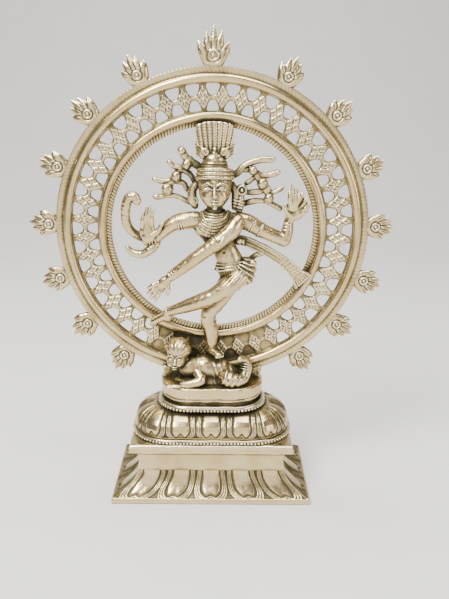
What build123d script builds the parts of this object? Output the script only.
"""Brass statue of a dancer inside a ring of flames, on a lotus pedestal.

Units are millimetres. The origin is on the table under the middle of the pedestal, +Z is up, the dancer
faces -Y, and +X is the viewer's right. "left" and "right" in node names are the viewer's left and right.
Castings meet face to face. A limb ends in a tenon, which is what fills the socket drilled for it.
"""

import os
from math import atan2, cos, degrees, radians, sin

from build123d import *

os.makedirs("parts", exist_ok=True)

# ---------------------------------------------------------------- driving dimensions
OVERALL_HEIGHT = 203.2
PLINTH_DEPTH = 50.8
PLINTH_WIDTH = 88.6
WALL = 2.5

# pedestal levels
FOOT_TOP = 2.4
SKIRT_TOP = 13.0
WAIST_TOP = 21.2
SLAB_BOTTOM = 22.4
SLAB_TOP = 26.6
LOTUS_TOP = 39.6
STEP_BOTTOM = LOTUS_TOP
STEP_TOP = 45.6
DAIS_TOP = 51.2

# how far the waist and the slab stand back from the foot: at the ends, then at the front and back
END_INSETS = (11.2, 8.0)
FRONT_INSETS = (7.2, 4.0)

FOOT_BEAD_RADIUS = 1.15
FOOT_BEAD_SIZE = (69.6, 38.6, 17.0)
NECK_BEAD_RADIUS = 1.6
NECK_BEAD_SIZE = (45.4, 28.0, 12.4)
LOTUS_SECTIONS = (
    # height above the slab, width, depth, corner radius
    (0.0, 68.0, 37.0, 16.5),
    (2.4, 70.6, 39.4, 17.5),
    (6.6, 68.6, 38.0, 17.5),
    (10.6, 59.0, 33.4, 15.5),
    (LOTUS_TOP - SLAB_TOP, 49.0, 29.6, 13.5),
)
STEP_SIZE = (43.4, 26.4, 11.8)
DAIS_SIZE = (45.8, 31.0, 13.5)

# ring of flames
RING_Z = 119.3
RING_OUTER = 67.4
LATTICE_OUTER = 60.4
LATTICE_INNER = 49.8
RING_INNER = 43.6
BAND_THICKNESS = 2.4
RIM_RADIUS = 1.9
OUTER_RIM_R = 62.6
INNER_RIM_R = 47.5
LATTICE_COLUMNS = 44
OPEN_COLUMNS_PER_SIDE = 18
RING_FOOT_WIDTH = 44.0
RING_FOOT_TOP = 58.0
RING_FOOT_DEPTH = 5.0

TOP_FLAME_HEIGHT = OVERALL_HEIGHT - RING_Z - RING_OUTER
SIDE_FLAME_HEIGHT = 12.6
FLAME_WIDTH = 11.4
FLAME_ANGLES = (26.0, 47.0, 68.0, 88.5, 108.5, 127.5, 145.5)

# fastening
STUD_RADIUS = 2.0
STUD_HOLE_RADIUS = 2.3
STUD_BOTTOM = 15.6
NUT_ACROSS_FLATS = 7.0
NUT_HEIGHT = 3.2
WASHER_RADIUS = 4.5
WASHER_HEIGHT = 0.8
DOWEL_RADIUS = 1.2
DOWEL_X = 15.0
DOWEL_DEPTH = 4.0
SOCKET_RADIUS = 1.3
JOINT_FULLNESS = 1.06


def save(piece, label):
    """Names a finished piece and writes its STEP file."""
    piece.part.label = label
    export_step(piece.part, f"parts/{label}.step")


def on_ring(radius, degrees_from_top):
    """The point (x, z) at that radius and angle on the ring; positive angles go to +X."""
    a = radians(degrees_from_top)
    return (radius * sin(a), RING_Z + radius * cos(a))


def cut_away(*pieces):
    """Takes neighbours away from the piece being built, so that the two meet face to face."""
    for piece in pieces:
        add(piece.part, mode=Mode.SUBTRACT)


def limb(points, radii):
    """Tapered round bars through the points, with a slightly fuller ball at each."""
    shapes = []
    for start, end, start_radius, end_radius in zip(points, points[1:], radii, radii[1:]):
        run = Vector(*end) - Vector(*start)
        bar = Cone(
            start_radius,
            end_radius * 0.99,
            run.length,
            align=(Align.CENTER, Align.CENTER, Align.MIN),
            mode=Mode.PRIVATE,
        )
        shapes.append(Plane(origin=start, z_dir=run) * bar)
    for point, radius in zip(points, radii):
        shapes.append(Pos(*point) * Sphere(radius * JOINT_FULLNESS, mode=Mode.PRIVATE))
    add(shapes, clean=False)


def oval_stack(sections):
    """A smooth body through ovals given as (x, y, z, half width, half depth), from the bottom up."""
    with BuildPart() as body:
        for x, y, z, half_width, half_depth in sections:
            with BuildSketch(Plane.XY.offset(z)):
                with Locations((x, y)):
                    Ellipse(half_width, half_depth)
        loft()
    return body.part


def oval_run(sections, y):
    """A smooth body lying along X through ovals given as (x, z, half height, half depth)."""
    with BuildPart() as body:
        for x, z, half_height, half_depth in sections:
            with BuildSketch(Plane.YZ.offset(x)):
                with Locations((y, z)):
                    Ellipse(half_depth, half_height)
        loft()
    return body.part


def plate(outline, front_y, thickness):
    """A flat plate whose outline is given as (x, z) corners; it runs back from front_y."""
    with BuildPart() as body:
        with BuildSketch(Plane.XZ.offset(-front_y - thickness)):
            with BuildLine():
                Polyline(*outline, close=True)
            make_face()
        extrude(amount=thickness)
    return body.part


def socket(start, end):
    """A round hole drilled from start to end, for a tenon."""
    run = Vector(*end) - Vector(*start)
    with Locations(Plane(origin=start, z_dir=run)):
        Cylinder(
            SOCKET_RADIUS,
            run.length,
            align=(Align.CENTER, Align.CENTER, Align.MIN),
            mode=Mode.SUBTRACT,
        )


# ---------------------------------------------------------------- pedestal
def pedestal_profile(foot_half, insets, base, wall):
    """Outline of the plinth: foot band, bell-shaped skirt and waist; a solid one also has the slab."""
    waist_inset, slab_inset = insets
    foot = foot_half - wall
    waist = foot_half - waist_inset - wall
    slab = foot_half - slab_inset
    with BuildSketch() as profile:
        with BuildLine():
            Polyline((0, base), (foot, base), (foot, FOOT_TOP))
            ThreePointArc(
                (foot, FOOT_TOP),
                (waist + waist_inset * 0.3, FOOT_TOP + (SKIRT_TOP - FOOT_TOP) * 0.5),
                (waist, SKIRT_TOP),
            )
            if wall:
                Polyline((waist, SKIRT_TOP), (waist, WAIST_TOP), (0, WAIST_TOP))
            else:
                Polyline(
                    (waist, SKIRT_TOP),
                    (waist, WAIST_TOP),
                    (slab, SLAB_BOTTOM),
                    (slab, SLAB_TOP),
                    (0, SLAB_TOP),
                )
            mirror(about=Plane.YZ)
        make_face()
    return profile.sketch


def plinth_body(base, wall):
    """The plinth's outline seen from the front, crossed with its outline seen from the side."""
    with BuildPart() as body:
        with BuildSketch(Plane.XZ):
            add(pedestal_profile(PLINTH_WIDTH / 2, END_INSETS, base, wall))
        extrude(amount=PLINTH_WIDTH, both=True)
        with BuildSketch(Plane.YZ):
            add(pedestal_profile(PLINTH_DEPTH / 2, FRONT_INSETS, base, wall))
        extrude(amount=PLINTH_WIDTH, both=True, mode=Mode.INTERSECT)
    return body.part


with BuildPart() as plinth:
    add(plinth_body(0.0, 0.0))
    add(plinth_body(-1.0, WALL), mode=Mode.SUBTRACT)
    with Locations((0, 0, SLAB_TOP)):
        Hole(STUD_HOLE_RADIUS, depth=SLAB_TOP)
save(plinth, "plinth")


def lotus_stack(inset, drop):
    """The cushion's rounded outlines, drawn in by inset and lowered by drop, lofted together."""
    with BuildPart() as body:
        for height, width, depth, corner in LOTUS_SECTIONS:
            with BuildSketch(Plane.XY.offset(SLAB_TOP + height - drop)):
                RectangleRounded(width - 2 * inset, depth - 2 * inset, corner - inset)
        loft()
    return body.part


def beading(size, radius, height):
    """A round wire bent to a rounded outline."""
    with BuildSketch(Plane.XY.offset(height)) as outline:
        RectangleRounded(*size)
    path = outline.sketch.faces()[0].outer_wire()
    with BuildPart() as body:
        with BuildSketch(Plane(origin=path @ 0, z_dir=path % 0)):
            Circle(radius)
        sweep(path=path)
    return body.part


with BuildPart() as lotus_foot_beading:
    add(beading(FOOT_BEAD_SIZE, FOOT_BEAD_RADIUS, SLAB_TOP + FOOT_BEAD_RADIUS))
save(lotus_foot_beading, "lotus_foot_beading")

with BuildPart() as lotus_neck_beading:
    add(beading(NECK_BEAD_SIZE, NECK_BEAD_RADIUS, LOTUS_TOP + NECK_BEAD_RADIUS))
save(lotus_neck_beading, "lotus_neck_beading")

with BuildPart() as lotus_cushion:
    add(lotus_stack(0.0, 0.0))
    add(lotus_stack(WALL, WALL), mode=Mode.SUBTRACT)
    cut_away(lotus_foot_beading)
    with Locations((0, 0, LOTUS_TOP)):
        Hole(STUD_HOLE_RADIUS, depth=LOTUS_TOP - SLAB_TOP)
save(lotus_cushion, "lotus_cushion")

with BuildPart() as dais_step:
    with BuildSketch(Plane.XY.offset(STEP_BOTTOM)):
        RectangleRounded(*STEP_SIZE)
    extrude(amount=STEP_TOP - STEP_BOTTOM)
    cut_away(lotus_neck_beading)
    with Locations((0, 0, STEP_TOP)):
        Hole(STUD_HOLE_RADIUS, depth=STEP_TOP - STEP_BOTTOM)
save(dais_step, "dais_step")

RING_Y = BAND_THICKNESS / 2
with BuildPart() as dais:
    with BuildSketch(Plane.XY.offset(STEP_TOP)):
        RectangleRounded(*DAIS_SIZE)
    extrude(amount=DAIS_TOP - STEP_TOP)
    with Locations((0, 0, STEP_TOP)):
        Cylinder(
            STUD_RADIUS,
            DOWEL_DEPTH,
            align=(Align.CENTER, Align.CENTER, Align.MIN),
            mode=Mode.SUBTRACT,
        )
    with Locations((-DOWEL_X, RING_Y, DAIS_TOP), (DOWEL_X, RING_Y, DAIS_TOP)):
        Hole(DOWEL_RADIUS, depth=DOWEL_DEPTH)
save(dais, "dais")

# ---------------------------------------------------------------- fastening under the slab
DECK_BOTTOM = WAIST_TOP
WASHER_BOTTOM = DECK_BOTTOM - WASHER_HEIGHT
NUT_BOTTOM = WASHER_BOTTOM - NUT_HEIGHT

with BuildPart() as tie_stud:
    with BuildSketch(Plane.XY.offset(STUD_BOTTOM)):
        Circle(STUD_RADIUS)
    extrude(amount=STEP_TOP + DOWEL_DEPTH - STUD_BOTTOM)
    chamfer(tie_stud.edges().group_by(Axis.Z)[0], 0.4)
save(tie_stud, "tie_stud")

with BuildPart() as tie_washer:
    with BuildSketch(Plane.XY.offset(WASHER_BOTTOM)):
        Circle(WASHER_RADIUS)
        Circle(STUD_HOLE_RADIUS, mode=Mode.SUBTRACT)
    extrude(amount=WASHER_HEIGHT)
save(tie_washer, "tie_washer")

with BuildPart() as tie_nut:
    with BuildSketch(Plane.XY.offset(NUT_BOTTOM)):
        RegularPolygon(NUT_ACROSS_FLATS / 2, 6, major_radius=False)
        Circle(STUD_RADIUS, mode=Mode.SUBTRACT)
    extrude(amount=NUT_HEIGHT)
save(tie_nut, "tie_nut")

# ---------------------------------------------------------------- ring
HOLE_REACH_OUTER = 4.2
HOLE_REACH_INNER = 3.9
HOLE_HALF_OUTER = 2.8
HOLE_HALF_INNER = 2.55
HOLE_CORNER = 0.7


def lattice_hole(base_radius, apex_radius, half_width):
    """One pierced triangle of the lattice, drawn at the top of the ring, with rounded corners."""
    with BuildSketch() as hole:
        with BuildLine():
            Polyline(
                (-half_width, base_radius), (half_width, base_radius), (0, apex_radius), close=True
            )
        make_face()
        fillet(hole.vertices(), HOLE_CORNER)
    return hole.sketch


OUTER_HOLE = lattice_hole(LATTICE_OUTER, LATTICE_OUTER - HOLE_REACH_OUTER, HOLE_HALF_OUTER)
INNER_HOLE = lattice_hole(LATTICE_INNER, LATTICE_INNER + HOLE_REACH_INNER, HOLE_HALF_INNER)
RING_PLANE = Plane(origin=(0, BAND_THICKNESS, RING_Z), x_dir=(1, 0, 0), z_dir=(0, -1, 0))

with BuildPart() as ring_band:
    with BuildSketch(RING_PLANE):
        Circle(RING_OUTER)
        Circle(RING_INNER, mode=Mode.SUBTRACT)
        for column in range(-OPEN_COLUMNS_PER_SIDE, OPEN_COLUMNS_PER_SIDE + 1):
            with Locations(Location((0, 0, 0), (0, 0, column * 360 / LATTICE_COLUMNS))):
                add(OUTER_HOLE, mode=Mode.SUBTRACT)
                add(INNER_HOLE, mode=Mode.SUBTRACT)
    extrude(amount=BAND_THICKNESS)
save(ring_band, "ring_band")


def half_round_rim(radius):
    """A half-round bar bent to a full circle, flat on the front face of the band."""
    with BuildPart() as bar:
        with BuildSketch(Plane.YZ):
            with Locations((0, RING_Z + radius)):
                Circle(RIM_RADIUS)
            with Locations((RIM_RADIUS, RING_Z + radius)):
                Rectangle(2 * RIM_RADIUS, 3 * RIM_RADIUS, mode=Mode.SUBTRACT)
        revolve(axis=Axis((0, 0, RING_Z), (0, 1, 0)), revolution_arc=360)
    return bar.part


with BuildPart() as outer_rim:
    add(half_round_rim(OUTER_RIM_R))
save(outer_rim, "outer_rim")

with BuildPart() as inner_rim:
    add(half_round_rim(INNER_RIM_R))
save(inner_rim, "inner_rim")

with BuildPart() as ring_foot:
    with BuildSketch(Plane.XZ.offset(-BAND_THICKNESS / 2)):
        with Locations((0, (DAIS_TOP + RING_FOOT_TOP) / 2)):
            Rectangle(RING_FOOT_WIDTH, RING_FOOT_TOP - DAIS_TOP)
        with Locations((0, RING_Z)):
            Circle(RING_OUTER - 1.0, mode=Mode.SUBTRACT)
    extrude(amount=RING_FOOT_DEPTH / 2, both=True)
    for side in (-1, 1):
        with Locations((side * DOWEL_X, RING_Y, DAIS_TOP - DOWEL_DEPTH)):
            Cylinder(
                DOWEL_RADIUS,
                DOWEL_DEPTH + 0.5,
                align=(Align.CENTER, Align.CENTER, Align.MIN),
            )
    cut_away(ring_band)
save(ring_foot, "ring_foot")

# tongue tips and the notches between them, as shares of width and height, from the left
FLAME_OUTLINE = (
    (-0.30, 0.0),
    (-0.42, 0.22),
    (-0.50, 0.60),
    (-0.33, 0.46),
    (-0.27, 0.84),
    (-0.14, 0.58),
    (0.0, 1.0),
    (0.14, 0.58),
    (0.27, 0.84),
    (0.33, 0.46),
    (0.50, 0.60),
    (0.42, 0.22),
    (0.30, 0.0),
)
FLAME_SINK = 1.0
FLAME_BOSS_RADIUS = 1.9


def flame(width, height, degrees_from_top):
    """A palmette of five tongues with a round boss, standing on the ring's edge."""
    x, z = on_ring(RING_OUTER, degrees_from_top)
    plane = Plane(
        origin=(x, BAND_THICKNESS, z),
        x_dir=(cos(radians(degrees_from_top)), 0, -sin(radians(degrees_from_top))),
        z_dir=(0, -1, 0),
    )
    boss = on_ring(RING_OUTER + height * 0.3, degrees_from_top)
    with BuildPart() as body:
        with BuildSketch(plane):
            with BuildLine():
                Polyline(
                    (-0.30 * width, -FLAME_SINK),
                    *((u * width, v * height) for u, v in FLAME_OUTLINE),
                    (0.30 * width, -FLAME_SINK),
                    close=True,
                )
            make_face()
        extrude(amount=BAND_THICKNESS)
        with Locations((boss[0], BAND_THICKNESS / 2, boss[1])):
            Sphere(FLAME_BOSS_RADIUS)
        cut_away(ring_band)
    return body.part


with BuildPart() as flame_top:
    add(flame(FLAME_WIDTH * 1.3, TOP_FLAME_HEIGHT, 0.0))
save(flame_top, "flame_top")

for number, angle in enumerate(FLAME_ANGLES, start=1):
    for side, name in ((-1, "left"), (1, "right")):
        with BuildPart() as side_flame:
            add(flame(FLAME_WIDTH, SIDE_FLAME_HEIGHT, side * angle))
        save(side_flame, f"flame_{name}_{number}")

# ---------------------------------------------------------------- dancer
BODY_Y = -6.0
HEAD_X = 0.9
HEAD_Y = BODY_Y - 1.2

# centre x, height, half width, half depth
TORSO_OVALS = (
    (10.0, 98.5, 4.6, 3.4),
    (9.6, 103.5, 7.2, 4.4),
    (7.0, 109.0, 5.4, 3.9),
    (4.2, 114.0, 5.6, 4.0),
    (1.8, 120.0, 8.2, 4.8),
    (1.2, 125.0, 9.0, 4.4),
    (0.9, 128.6, 4.0, 3.2),
)

with BuildPart() as torso:
    add(oval_stack((x, BODY_Y, z, wide, deep) for x, z, wide, deep in TORSO_OVALS))
    socket((HEAD_X, BODY_Y, 129.0), (HEAD_X, BODY_Y, 124.5))
    socket((-10.0, BODY_Y, 124.0), (-3.5, BODY_Y, 123.4))
    socket((12.0, BODY_Y, 124.0), (7.6, BODY_Y, 123.6))
    socket((10.0, -10.9, 122.2), (5.6, -7.6, 119.8))
    socket((10.0, BODY_Y, 98.0), (9.6, BODY_Y, 102.0))
save(torso, "torso")

HIP_CLOTH_OUTER = ((9.8, 98.2, 6.0, 4.6), (9.8, 103.5, 8.0, 5.2), (8.0, 107.6, 6.4, 4.7))
with BuildPart() as hip_cloth:
    add(oval_stack((x, BODY_Y, z, wide, deep) for x, z, wide, deep in HIP_CLOTH_OUTER))
    cut_away(torso)
    with Locations((10.0, BODY_Y, 98.0)):
        Cylinder(
            SOCKET_RADIUS, 4.0, align=(Align.CENTER, Align.CENTER, Align.MIN), mode=Mode.SUBTRACT
        )
save(hip_cloth, "hip_cloth")

# height, half width, half depth
HEAD_OVALS = (
    (129.9, 2.4, 2.4),
    (133.0, 4.9, 4.8),
    (137.0, 6.2, 5.9),
    (141.5, 6.3, 6.0),
    (146.5, 5.0, 4.8),
)
DIADEM_OVALS = ((141.8, 7.2, 6.8), (144.0, 7.4, 7.0), (146.4, 6.4, 6.2))

with BuildPart() as head:
    add(oval_stack((HEAD_X, HEAD_Y, z, wide, deep) for z, wide, deep in HEAD_OVALS))
    with Locations((HEAD_X, BODY_Y, 128.0)):
        Cylinder(2.6, 5.0, align=(Align.CENTER, Align.CENTER, Align.MIN))
    with Locations((HEAD_X, BODY_Y, 124.5)):
        Cylinder(SOCKET_RADIUS, 5.0, align=(Align.CENTER, Align.CENTER, Align.MIN))
    cut_away(torso)
save(head, "head")

with BuildPart() as diadem:
    add(oval_stack((HEAD_X, HEAD_Y, z, wide, deep) for z, wide, deep in DIADEM_OVALS))
    cut_away(head)
save(diadem, "diadem")

CROWN_FOOT_Z = 146.5
CROWN_TOP_Z = 165.5
CROWN_BACK_Y = -1.2
CROWN_THICKNESS = 5.2
with BuildPart() as feather_crown:
    with BuildSketch(Plane.XZ.offset(-CROWN_BACK_Y)):
        with BuildLine():
            Polyline((-4.0, CROWN_FOOT_Z), (6.0, CROWN_FOOT_Z), (9.6, 151.5))
            ThreePointArc((9.6, 151.5), (9.4, 157.5), (8.4, 163.4))
            ThreePointArc((8.4, 163.4), (0.9, CROWN_TOP_Z), (-6.8, 163.4))
            ThreePointArc((-6.8, 163.4), (-7.9, 157.5), (-7.4, 151.5))
            Line((-7.4, 151.5), (-4.0, CROWN_FOOT_Z))
        make_face()
    extrude(amount=CROWN_THICKNESS)
    cut_away(head, diadem, inner_rim, ring_band)
save(feather_crown, "feather_crown")

with BuildPart() as ear_pendant:
    limb(((-6.6, -5.6, 139.0), (-8.0, -5.2, 134.0), (-6.8, -5.2, 129.6)), (1.4, 2.1, 1.3))
    cut_away(head, torso, diadem)
save(ear_pendant, "ear_pendant")

with BuildPart() as ear_disc:
    with BuildSketch(Plane.XZ.offset(3.4)):
        with Locations((11.2, 137.6)):
            Circle(2.9)
        with Locations((8.6, 137.6)):
            Rectangle(5.6, 2.8)
        with Locations((11.0, 132.0)):
            Circle(2.5)
        with Locations((9.6, 134.6)):
            Rectangle(3.4, 5.0)
    extrude(amount=3.2)
    cut_away(head, torso, diadem)
save(ear_disc, "ear_disc")

# Matted locks stream out flat on both sides of the head, tied together by round bosses.
HAIR_Y = -2.6
HAIR_STRAND = 1.05
HAIR_BOSS = 2.1
HAIR_LEFT = (
    ((-5.4, 147.8), (-8.5, 148.4), (-11.6, 150.4), (-14.0, 153.4)),
    ((-4.0, 144.5), (-9.6, 146.0), (-15.0, 147.2), (-18.2, 149.8)),
    ((-8.0, 140.5), (-12.4, 143.2), (-17.0, 142.0), (-24.2, 142.6)),
    ((-5.5, 136.0), (-11.0, 139.8), (-17.6, 137.6), (-21.6, 139.6)),
    ((-6.0, 132.6), (-11.0, 133.4), (-17.0, 135.0), (-24.6, 134.9)),
)
HAIR_LEFT_BOSSES = ((-10.6, 146.9), (-14.6, 142.5), (-19.0, 137.3))
HAIR_RIGHT = (
    ((6.0, 143.5), (12.0, 146.6), (17.4, 149.0), (26.2, 150.6)),
    ((7.0, 142.0), (13.4, 143.0), (20.2, 143.6), (27.6, 145.0)),
    ((10.0, 139.0), (15.6, 139.8), (21.0, 138.2), (28.8, 138.6)),
    ((8.0, 134.0), (14.6, 134.8), (22.0, 135.8), (28.0, 139.0)),
    ((8.0, 130.8), (15.0, 132.0), (22.0, 133.0), (28.6, 130.6)),
)
HAIR_RIGHT_BOSSES = ((16.6, 145.4), (21.2, 140.2), (24.4, 134.8))


def hair(strands, bosses, tie):
    """One side's flat locks, its bosses, and a bar that ties the strands together."""
    with BuildPart() as locks:
        with BuildSketch(Plane.XZ.offset(-HAIR_Y - HAIR_STRAND)):
            for strand in (*strands, tie):
                for start, end in zip(strand, strand[1:]):
                    run = Vector(*end) - Vector(*start)
                    middle = (Vector(*start) + Vector(*end)) / 2
                    with Locations(Location(middle, (0, 0, degrees(atan2(run.Y, run.X))))):
                        SlotCenterToCenter(run.length, 2 * HAIR_STRAND)
        extrude(amount=2 * HAIR_STRAND)
        for x, z in bosses:
            with Locations((x, HAIR_Y - 0.8, z)):
                Sphere(HAIR_BOSS)
    return locks.part


with BuildPart() as hair_left:
    add(hair(HAIR_LEFT, HAIR_LEFT_BOSSES, ((-9.8, 147.6), (-14.6, 142.5), (-19.0, 135.4))))
    cut_away(head, torso, diadem, feather_crown, ear_pendant)
save(hair_left, "hair_left")

with BuildPart() as hair_right:
    add(hair(HAIR_RIGHT, HAIR_RIGHT_BOSSES, ((14.0, 147.4), (20.0, 140.0), (23.4, 132.8))))
    cut_away(head, torso, diadem, feather_crown, ear_disc)
save(hair_right, "hair_right")

with BuildPart() as necklace:
    limb(
        ((-4.4, -8.8, 127.0), (-2.6, -10.6, 123.8), (0.9, -11.2, 122.2), (4.2, -10.4, 124.4)),
        (0.9, 1.0, 1.3, 1.0),
    )
    limb(((4.2, -10.4, 124.4), (6.0, -8.8, 127.0)), (1.0, 0.9))
    cut_away(torso, head)
save(necklace, "necklace")

PALM_OUTLINE = (
    (-30.2, 115.4),
    (-25.6, 115.2),
    (-23.4, 118.6),
    (-20.9, 122.2),
    (-22.0, 123.4),
    (-24.6, 121.8),
    (-25.4, 128.6),
    (-26.6, 132.6),
    (-29.6, 127.6),
    (-31.2, 122.6),
)

with BuildPart() as palm_arm:
    limb(
        ((-3.5, BODY_Y, 123.4), (-10.0, BODY_Y, 124.6), (-17.0, BODY_Y, 121.4), (-24.4, -7.0, 116.6)),
        (2.2, 3.2, 3.0, 2.2),
    )
    limb(((-24.4, -7.0, 116.6), (-27.4, -9.6, 117.6)), (2.2, 2.4))
    add(plate(PALM_OUTLINE, -11.4, 2.6))
    cut_away(torso, necklace, hair_left)
save(palm_arm, "palm_arm")

with BuildPart() as cobra:
    limb(
        (
            (-36.4, -8.0, 112.2),
            (-33.4, -7.6, 110.2),
            (-29.4, -7.0, 110.6),
            (-26.6, -5.4, 113.4),
            (-30.0, -5.6, 118.0),
            (-34.8, -6.6, 123.0),
            (-36.4, -7.2, 128.8),
            (-35.2, -7.6, 134.2),
            (-32.6, -7.8, 134.8),
            (-31.8, -8.0, 131.4),
        ),
        (0.8, 1.4, 1.8, 2.0, 2.0, 1.7, 1.7, 2.2, 2.2, 1.6),
    )
    cut_away(palm_arm)
save(cobra, "cobra")

FIRE_HAND_OUTLINE = (
    (31.2, 125.0),
    (34.0, 124.6),
    (40.4, 129.4),
    (40.2, 132.4),
    (36.4, 136.6),
    (32.4, 136.0),
    (30.6, 131.0),
)

with BuildPart() as fire_arm:
    limb(
        (
            (7.2, -6.0, 123.4),
            (13.4, -6.2, 124.4),
            (21.0, -6.5, 119.6),
            (30.4, -6.9, 115.8),
            (32.2, -6.3, 124.0),
        ),
        (2.2, 3.1, 2.9, 2.6, 1.7),
    )
    add(plate(FIRE_HAND_OUTLINE, -8.0, 3.4))
    cut_away(torso, necklace, hair_right)
save(fire_arm, "fire_arm")

HAND_FLAME_OUTLINE = (
    (31.0, 130.0),
    (34.0, 127.6),
    (37.2, 131.0),
    (37.6, 134.6),
    (35.4, 137.8),
    (34.6, 139.8),
    (33.2, 138.6),
    (32.2, 141.2),
    (31.2, 137.6),
    (30.4, 134.0),
)

with BuildPart() as hand_flame:
    add(plate(HAND_FLAME_OUTLINE, -10.6, 2.4))
    cut_away(fire_arm, hair_right)
save(hand_flame, "hand_flame")

# The arm that crosses the chest, and the leg that is lifted across the body.
CROSSING_Y = -12.4
with BuildPart() as crossing_arm:
    limb(
        (
            (5.6, -7.6, 119.8),
            (9.6, -10.6, 122.4),
            (4.0, CROSSING_Y, 117.6),
            (-16.6, CROSSING_Y, 102.4),
            (-19.6, CROSSING_Y, 99.8),
        ),
        (1.35, 3.0, 2.8, 1.75, 1.9),
    )
    limb(((-19.6, CROSSING_Y, 99.8), (-22.4, CROSSING_Y, 96.6)), (1.9, 2.3))
    for tip in ((-25.8, 95.6), (-24.8, 93.4), (-22.6, 92.4)):
        limb(((-22.2, CROSSING_Y, 97.0), (tip[0], CROSSING_Y, tip[1])), (1.1, 0.8))
    limb(((-20.0, CROSSING_Y, 99.0), (-18.4, CROSSING_Y, 95.0)), (1.1, 0.8))
    cut_away(torso, necklace, fire_arm, ear_disc, hair_right)
save(crossing_arm, "crossing_arm")

with BuildPart() as raised_leg:
    limb(
        (
            (9.6, BODY_Y, 101.0),
            (14.4, -9.4, 100.6),
            (8.0, -12.2, 97.6),
            (1.0, -12.4, 93.6),
            (-10.0, -10.4, 88.6),
            (-19.4, -7.4, 84.4),
            (-21.0, -6.6, 82.6),
        ),
        (2.6, 3.6, 3.5, 3.2, 2.5, 1.9, 2.2),
    )
    limb(((-21.0, -6.6, 82.6), (-26.4, -4.6, 78.8)), (2.2, 1.7))
    cut_away(torso, hip_cloth, inner_rim, ring_band)
save(raised_leg, "raised_leg")

# ---------------------------------------------------------------- dwarf under the dancer's foot
# x, height, half height, half depth
DWARF_OVALS = (
    (-14.0, 58.6, 3.0, 3.0),
    (-9.0, 58.4, 5.0, 5.0),
    (-3.0, 58.2, 6.0, 5.6),
    (3.0, 57.4, 5.4, 5.4),
    (9.0, 56.0, 4.8, 5.2),
    (11.6, 55.6, 2.6, 3.0),
)

with BuildPart() as dwarf_body:
    add(oval_run(DWARF_OVALS, -6.6))
    cut_away(ring_foot, ring_band, inner_rim, outer_rim, dais)
save(dwarf_body, "dwarf_body")

# x, y, height, half width, half depth
DWARF_HEAD_OVALS = (
    (-16.6, -9.8, 58.8, 2.4, 2.2),
    (-15.8, -9.2, 61.6, 4.2, 3.8),
    (-14.8, -8.2, 66.2, 6.1, 5.8),
    (-14.2, -7.6, 70.2, 5.0, 4.8),
    (-14.0, -7.4, 72.6, 2.6, 2.4),
)

with BuildPart() as dwarf_head:
    add(oval_stack(DWARF_HEAD_OVALS))
    cut_away(dwarf_body, inner_rim, outer_rim, ring_band, ring_foot)
save(dwarf_head, "dwarf_head")

# x, height, half height, half depth
DWARF_ARM_OVALS = (
    (-2.6, 54.6, 1.6, 1.5),
    (-4.8, 54.4, 2.4, 2.2),
    (-8.6, 53.6, 2.1, 2.0),
    (-13.4, 52.9, 1.5, 1.5),
    (-17.6, 52.5, 1.2, 1.5),
    (-19.6, 52.3, 0.8, 1.1),
)

with BuildPart() as dwarf_arm:
    add(oval_run(DWARF_ARM_OVALS, -12.8))
    cut_away(dwarf_body, dwarf_head, dais)
save(dwarf_arm, "dwarf_arm")

with BuildPart() as dwarf_legs:
    limb(
        ((8.4, -7.4, 55.8), (7.2, -12.0, 54.4), (14.4, -9.0, 54.6), (15.0, -7.0, 61.6)),
        (3.0, 3.1, 2.6, 1.9),
    )
    limb(((15.0, -7.0, 61.6), (12.8, -10.0, 63.0)), (1.9, 1.3))
    cut_away(dwarf_body, dais, ring_foot, ring_band, outer_rim)
save(dwarf_legs, "dwarf_legs")

with BuildPart() as standing_leg:
    limb(
        (
            (9.6, BODY_Y, 101.0),
            (6.0, BODY_Y, 95.0),
            (-1.4, BODY_Y, 84.0),
            (-0.6, BODY_Y, 76.0),
            (0.8, -6.4, 67.6),
        ),
        (2.6, 4.4, 2.4, 3.2, 2.3),
    )
    limb(((0.2, -6.0, 66.4), (3.4, -9.6, 64.6)), (2.4, 1.8))
    cut_away(torso, hip_cloth, raised_leg, dwarf_body, inner_rim, ring_band)
save(standing_leg, "standing_leg")

# Scarf from the waist to the ring, where its fringed end lies on the inner rim.
SASH_OUTLINE = (
    (5.0, 117.4),
    (12.4, 116.6),
    (23.0, 112.6),
    (34.0, 107.0),
    (43.4, 102.2),
    (43.8, 97.8),
    (40.4, 93.0),
    (36.8, 95.6),
    (31.4, 103.0),
    (22.0, 109.0),
    (18.6, 109.4),
    (13.4, 103.4),
    (10.0, 105.6),
    (15.6, 110.6),
    (14.4, 113.2),
    (5.0, 114.2),
)

with BuildPart() as sash:
    add(plate(SASH_OUTLINE, -4.6, 2.4))
    cut_away(torso, hip_cloth, inner_rim, ring_band, fire_arm, crossing_arm, raised_leg)
save(sash, "sash")
